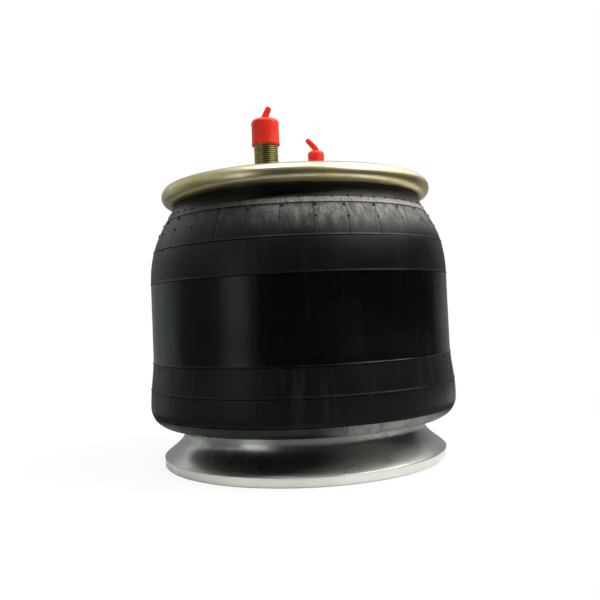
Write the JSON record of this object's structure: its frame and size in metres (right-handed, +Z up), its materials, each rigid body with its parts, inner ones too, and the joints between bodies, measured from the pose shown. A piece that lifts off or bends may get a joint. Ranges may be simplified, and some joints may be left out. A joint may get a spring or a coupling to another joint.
{
  "type": "air bellows actuator",
  "caption": "Rolling-lobe air bellows: a rubber sleeve rolls down a flared cast piston under a steel bead plate with a threaded stud and a threaded air inlet, both capped.",
  "frame": {"origin": "centre of the piston's flat base", "axes": "+Z up the actuator's axis, from the piston's base to the bead plate; the line through the two studs lies 70 degrees from +X, with the air inlet stud towards -Y"},
  "size_m": [0.258, 0.258, 0.2861],
  "materials": {
    "black_rubber": "satin",
    "bump_rubber": "matte",
    "yellow_zinc": "satin",
    "stud_zinc": "satin",
    "cast_aluminium": "satin",
    "red_vinyl": "gloss",
    "plain_steel": "satin",
    "bead_wire_steel": "satin"
  },
  "bodies": {
    "piston": {"piston": "cast_aluminium", "piston_hub": "cast_aluminium", "mounting_post_1": "cast_aluminium", "mounting_post_2": "cast_aluminium", "mounting_post_3": "cast_aluminium", "mounting_post_4": "cast_aluminium", "rib_1": "cast_aluminium", "rib_2": "cast_aluminium", "rib_3": "cast_aluminium", "rib_4": "cast_aluminium", "hub_rib_1": "cast_aluminium", "hub_rib_2": "cast_aluminium", "hub_rib_3": "cast_aluminium", "hub_rib_4": "cast_aluminium", "skirt_rib_1": "cast_aluminium", "skirt_rib_2": "cast_aluminium", "skirt_rib_3": "cast_aluminium", "skirt_rib_4": "cast_aluminium", "thread_insert_1": "plain_steel", "thread_insert_2": "plain_steel", "thread_insert_3": "plain_steel", "thread_insert_4": "plain_steel", "end_closure": "plain_steel", "lower_bead_wire": "bead_wire_steel", "bump_stop": "bump_rubber", "bump_stop_plate": "plain_steel", "piston_bolt": "plain_steel", "piston_bolt_head_washer": "plain_steel", "piston_bolt_seal": "bump_rubber", "piston_bolt_washer": "plain_steel", "piston_bolt_nut": "plain_steel"},
    "lobe": {"bellows": "black_rubber"},
    "bead_plate": {"bead_plate": "yellow_zinc", "upper_bead_wire": "bead_wire_steel", "combo_stud": "stud_zinc", "plain_stud": "stud_zinc"},
    "combo_cap": {"combo_stud_cap": "red_vinyl"},
    "plain_cap": {"plain_stud_cap": "red_vinyl"}
  },
  "joints": [
    {"name": "lobe_roll", "type": "slide", "parent": "piston", "child": "lobe", "axis": [0, 0, 1], "range_m": [-0.018, 0.08]},
    {"name": "plate_rise", "type": "slide", "parent": "lobe", "child": "bead_plate", "axis": [0, 0, 1], "range_m": [-0.018, 0.08], "stiffness_N_per_m": 2500, "springref_m": 0.0172, "deforming": ["bellows"]},
    {"name": "combo_cap_pull", "type": "slide", "parent": "bead_plate", "child": "combo_cap", "axis": [0, 0, 1], "range_m": [0, 0.03]},
    {"name": "plain_cap_pull", "type": "slide", "parent": "bead_plate", "child": "plain_cap", "axis": [0, 0, 1], "range_m": [0, 0.03]}
  ],
  "couplings": [
    {"joint": "lobe_roll", "follows": "plate_rise", "ratio": 1}
  ]
}
